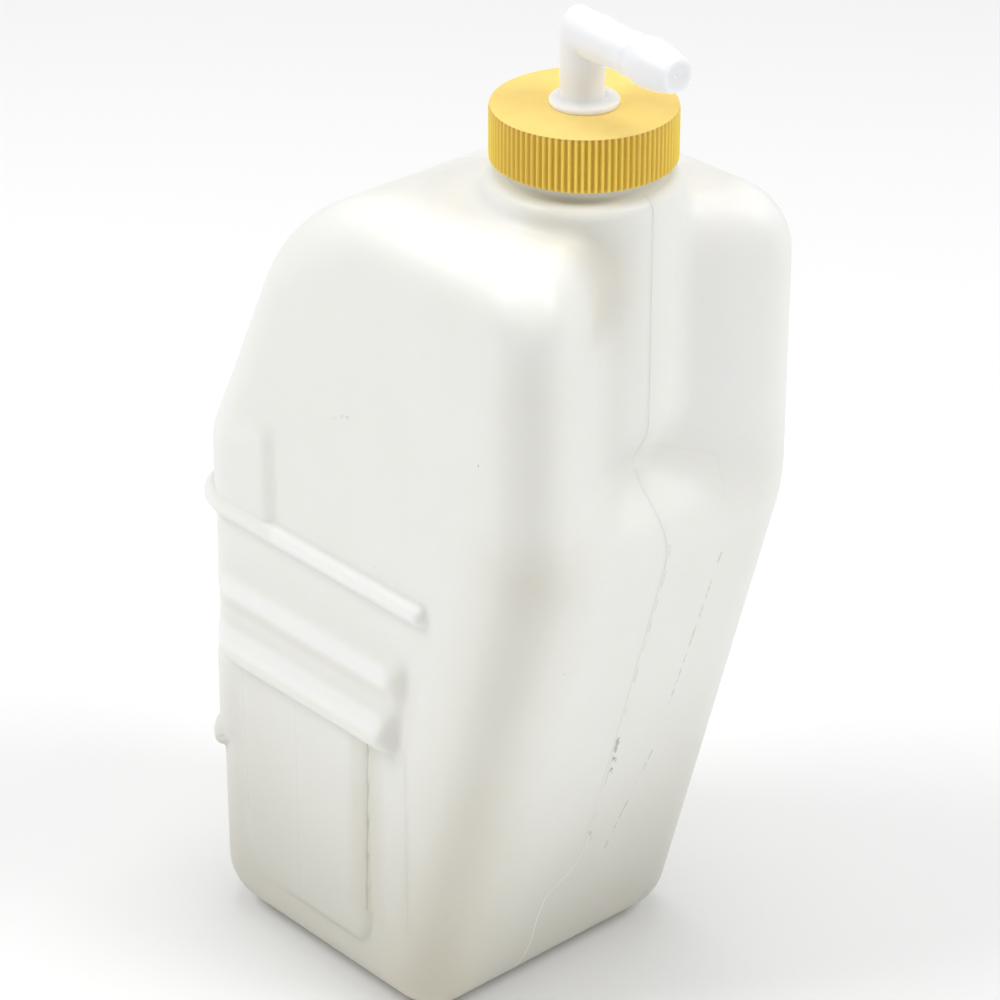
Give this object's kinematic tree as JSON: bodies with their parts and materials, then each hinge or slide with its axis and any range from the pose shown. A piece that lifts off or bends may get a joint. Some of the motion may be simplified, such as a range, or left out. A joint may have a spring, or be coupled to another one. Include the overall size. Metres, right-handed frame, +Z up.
{
  "type": "liquid reservoir bottle",
  "caption": "Blow-moulded translucent liquid reservoir bottle with a ribbed screw cap, a swivelling elbow hose spout and an inner dip tube.",
  "frame": {"origin": "centre of the flat base, on the mould's parting plane", "axes": "+Z up the bottle, +X towards the front with the neck column, -Y is the broad side with the bead, ledge and panel"},
  "size_m": [0.1642, 0.1191, 0.334],
  "materials": {
    "tank_plastic": "milky, faintly waxy, semi-translucent natural polyethylene",
    "cap_plastic": "satin yellow moulded polypropylene",
    "liner_foam": "soft closed-cell foam gasket",
    "spout_plastic": "cool white translucent moulded plastic",
    "seal_rubber": "matte black rubber",
    "spring_steel": "thin spring steel",
    "tube_plastic": "clear flexible hose"
  },
  "bodies": {
    "tank": {"tank_body": "tank_plastic"},
    "liner": {"cap_liner": "liner_foam"},
    "cap": {"screw_cap": "cap_plastic"},
    "spout": {"elbow_spout": "spout_plastic", "spout_seal_ring": "seal_rubber", "spout_retainer": "spring_steel", "dip_tube": "tube_plastic", "tube_clip": "spring_steel"}
  },
  "joints": [
    {"name": "liner_rise", "type": "slide", "parent": "tank", "child": "liner", "axis": [0, 0, 1], "range_m": [0, 0.01]},
    {"name": "cap_turn", "type": "hinge", "parent": "liner", "child": "cap", "pos_m": [0.0645, 0, 0.3], "axis": [0, 0, 1], "range_deg": [0, 720]},
    {"name": "spout_swivel", "type": "hinge", "parent": "liner", "child": "spout", "pos_m": [0.0645, 0, 0.3], "axis": [0, 0, 1], "range_deg": [-35, 35]}
  ],
  "couplings": [
    {"joint": "liner_rise", "follows": "cap_turn", "m_per_rad": 0.00079577}
  ]
}
